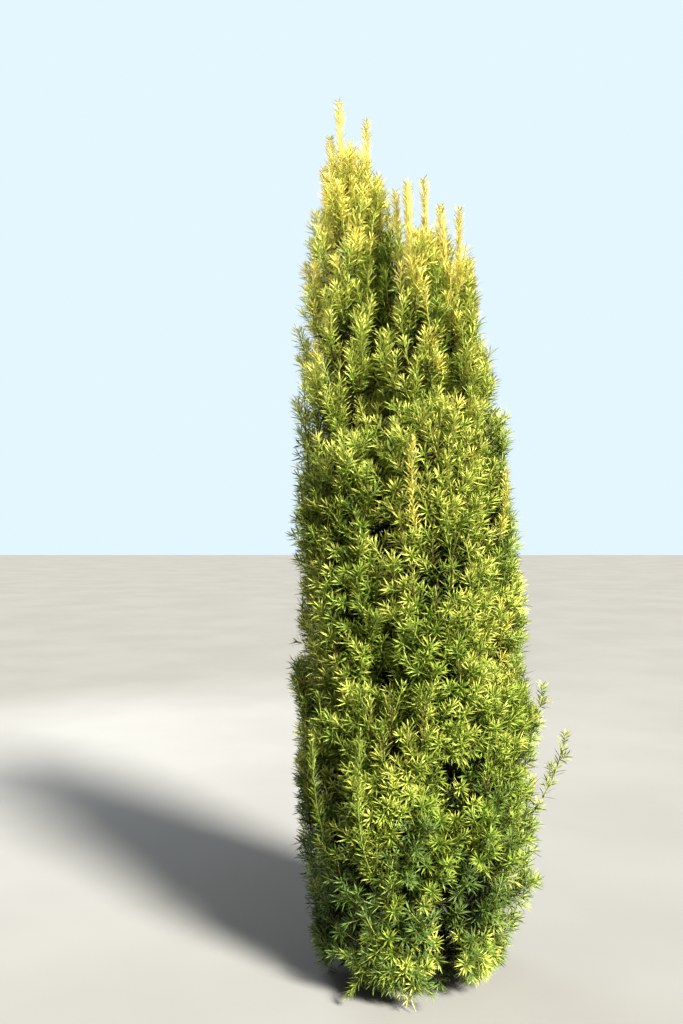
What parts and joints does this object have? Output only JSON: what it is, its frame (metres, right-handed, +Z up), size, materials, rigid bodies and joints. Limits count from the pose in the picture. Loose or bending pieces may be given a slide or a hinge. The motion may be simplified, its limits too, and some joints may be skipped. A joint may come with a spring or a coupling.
{
  "type": "irish yew",
  "caption": "Columnar evergreen with erect boughs, dense upright needle sprays and gold-tipped leaders, rooted in the ground on a short forked trunk.",
  "frame": {"origin": "middle of the flat cut under the trunk, at ground level", "axes": "+Z up along the trunk; -Y is the front that the picture shows; +X is its right side"},
  "size_m": [0.7198, 0.6217, 2.196],
  "materials": {
    "bark": "rough bark",
    "foliage_low": "fresh green needles",
    "foliage_middle": "lime-green needles",
    "foliage_top": "golden green needles"
  },
  "bodies": {
    "root": {"bough_plume_centre_back": "bark", "bough_plume_centre_front": "bark", "bough_plume_left_back": "bark", "bough_plume_left_centre": "bark", "bough_plume_left_front": "bark", "bough_plume_middle_back": "bark", "bough_plume_right_back": "bark", "bough_plume_right_front": "bark", "bough_skirt_1": "bark", "bough_skirt_2": "bark", "bough_skirt_3": "bark", "bough_skirt_4": "bark", "bough_skirt_5": "bark", "bough_waist_1": "bark", "bough_waist_2": "bark", "bough_waist_3": "bark", "bough_waist_4": "bark", "bough_waist_5": "bark", "foliage_plume_centre_back": "foliage_top", "foliage_plume_centre_front": "foliage_top", "foliage_plume_left_back": "foliage_top", "foliage_plume_left_centre": "foliage_top", "foliage_plume_left_front": "foliage_top", "foliage_plume_middle_back": "foliage_top", "foliage_plume_right_back": "foliage_top", "foliage_plume_right_front": "foliage_top", "foliage_skirt_1": "foliage_low", "foliage_skirt_2": "foliage_low", "foliage_skirt_3": "foliage_low", "foliage_skirt_4": "foliage_low", "foliage_skirt_5": "foliage_low", "foliage_waist_1": "foliage_middle", "foliage_waist_2": "foliage_middle", "foliage_waist_3": "foliage_middle", "foliage_waist_4": "foliage_middle", "foliage_waist_5": "foliage_middle", "trunk": "bark"}
  },
  "joints": []
}
